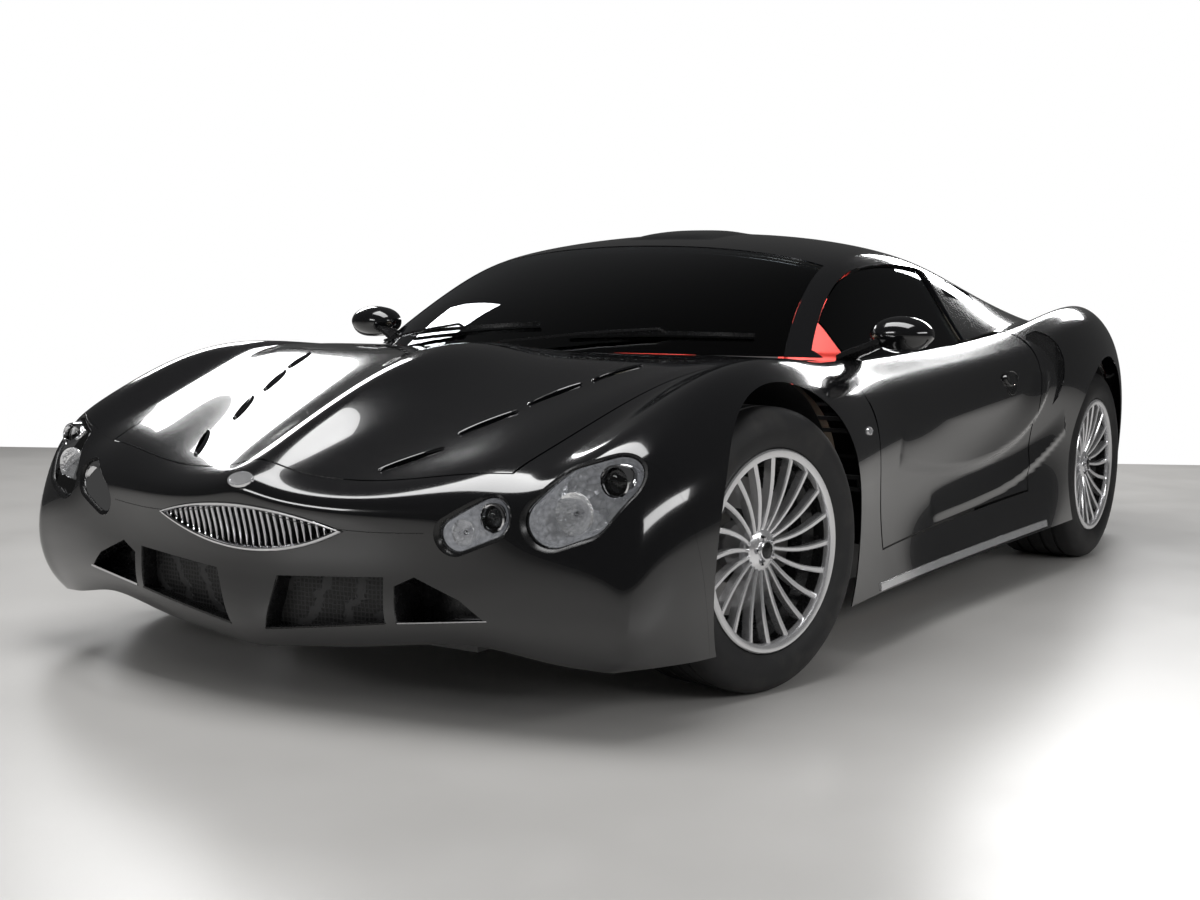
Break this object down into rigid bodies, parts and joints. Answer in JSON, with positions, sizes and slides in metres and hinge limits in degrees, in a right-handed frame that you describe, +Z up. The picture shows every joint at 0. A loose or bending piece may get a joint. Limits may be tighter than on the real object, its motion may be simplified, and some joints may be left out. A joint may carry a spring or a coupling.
{
  "type": "two-door supercar",
  "caption": "Low two-door supercar with a long bonnet, free-form skin, almond grille, opening doors, bonnet and boot lid, steered front wheels and turning road wheels.",
  "frame": {"origin": "on the ground, under the middle of the car", "axes": "+X forward, +Y to the left, +Z up"},
  "size_m": [4.4789, 2.0296, 1.1578],
  "materials": {
    "gloss_paint": "gloss black paint",
    "clear_glass": "lightly tinted",
    "lamp_lens": "clear lens",
    "lamp_inside": "grey bowls with bright lamp units",
    "red_lens": "red lamp lens",
    "bright_trim": "bright grille",
    "bright_rim": "polished wheels",
    "tyre_rubber": "black rubber",
    "black_plastic": "textured black",
    "structure": "dull metal",
    "knuckle_iron": "cast upright and brake disc",
    "engine_block": "one plain block",
    "pipe_steel": "exhaust steel",
    "seat_leather": "red leather",
    "dash_trim": "beige trim",
    "wheel_trim": "dark leather"
  },
  "bodies": {
    "body": {"chassis": "structure", "engine": "engine_block", "wheel_liners": "black_plastic", "front_bumper": "gloss_paint", "rear_bumper": "gloss_paint", "sills": "gloss_paint", "fender_left": "gloss_paint", "fender_right": "gloss_paint", "quarter_left": "gloss_paint", "quarter_right": "gloss_paint", "scuttle": "black_plastic", "rear_deck": "gloss_paint", "roof_frame": "gloss_paint", "windscreen": "clear_glass", "rear_glass": "clear_glass", "grille": "bright_trim", "intake_mesh": "black_plastic", "headlamp_lenses": "lamp_lens", "headlamp_bowls": "lamp_inside", "tail_lamps": "red_lens", "exhausts": "pipe_steel", "wipers": "black_plastic", "seats": "seat_leather", "dashboard": "dash_trim", "steering_wheel": "wheel_trim", "front_arms": "structure", "rear_suspension": "structure"},
    "bonnet": {"bonnet": "gloss_paint"},
    "boot_lid": {"boot_lid": "gloss_paint"},
    "door_left": {"door_left": "gloss_paint", "door_glass_left": "clear_glass", "mirror_left": "gloss_paint"},
    "door_right": {"door_right": "gloss_paint", "door_glass_right": "clear_glass", "mirror_right": "gloss_paint"},
    "steer_left": {"knuckle_left": "knuckle_iron"},
    "steer_right": {"knuckle_right": "knuckle_iron"},
    "wheel_front_left": {"rim_front_left": "bright_rim", "tyre_front_left": "tyre_rubber"},
    "wheel_front_right": {"rim_front_right": "bright_rim", "tyre_front_right": "tyre_rubber"},
    "wheel_rear_left": {"rim_rear_left": "bright_rim", "tyre_rear_left": "tyre_rubber"},
    "wheel_rear_right": {"rim_rear_right": "bright_rim", "tyre_rear_right": "tyre_rubber"}
  },
  "joints": [
    {"name": "door_left_hinge", "type": "hinge", "parent": "body", "child": "door_left", "pos_m": [0.941, 0.937, 0.53], "axis": [0, 0, -1], "range_deg": [0, 65]},
    {"name": "door_right_hinge", "type": "hinge", "parent": "body", "child": "door_right", "pos_m": [0.941, -0.937, 0.53], "axis": [0, 0, 1], "range_deg": [0, 65]},
    {"name": "bonnet_hinge", "type": "hinge", "parent": "body", "child": "bonnet", "pos_m": [1.248, 0, 0.738], "axis": [0, -1, 0], "range_deg": [0, 50]},
    {"name": "boot_lid_hinge", "type": "hinge", "parent": "body", "child": "boot_lid", "pos_m": [-1.184, 0, 0.838], "axis": [0, 1, 0], "range_deg": [0, 60]},
    {"name": "steer_left", "type": "hinge", "parent": "body", "child": "steer_left", "pos_m": [1.406, 0.765, 0.339], "axis": [0, 0, 1], "range_deg": [-18.2, 41.8]},
    {"name": "steer_right", "type": "hinge", "parent": "body", "child": "steer_right", "pos_m": [1.406, -0.765, 0.339], "axis": [0, 0, 1], "range_deg": [-18.2, 41.8]},
    {"name": "wheel_front_left_spin", "type": "hinge", "parent": "steer_left", "child": "wheel_front_left", "pos_m": [1.41878, 0.82618, 0.339], "axis": [0.2045, 0.9789, 0], "continuous": true},
    {"name": "wheel_front_right_spin", "type": "hinge", "parent": "steer_right", "child": "wheel_front_right", "pos_m": [1.39322, -0.82618, 0.339], "axis": [0.2045, 0.9789, 0], "continuous": true},
    {"name": "wheel_rear_left_spin", "type": "hinge", "parent": "body", "child": "wheel_rear_left", "pos_m": [-1.194, 0.8135, 0.343], "axis": [0, 1, 0], "continuous": true},
    {"name": "wheel_rear_right_spin", "type": "hinge", "parent": "body", "child": "wheel_rear_right", "pos_m": [-1.194, -0.8135, 0.343], "axis": [0, 1, 0], "continuous": true}
  ],
  "couplings": [
    {"joint": "steer_right", "follows": "steer_left", "ratio": 1}
  ]
}
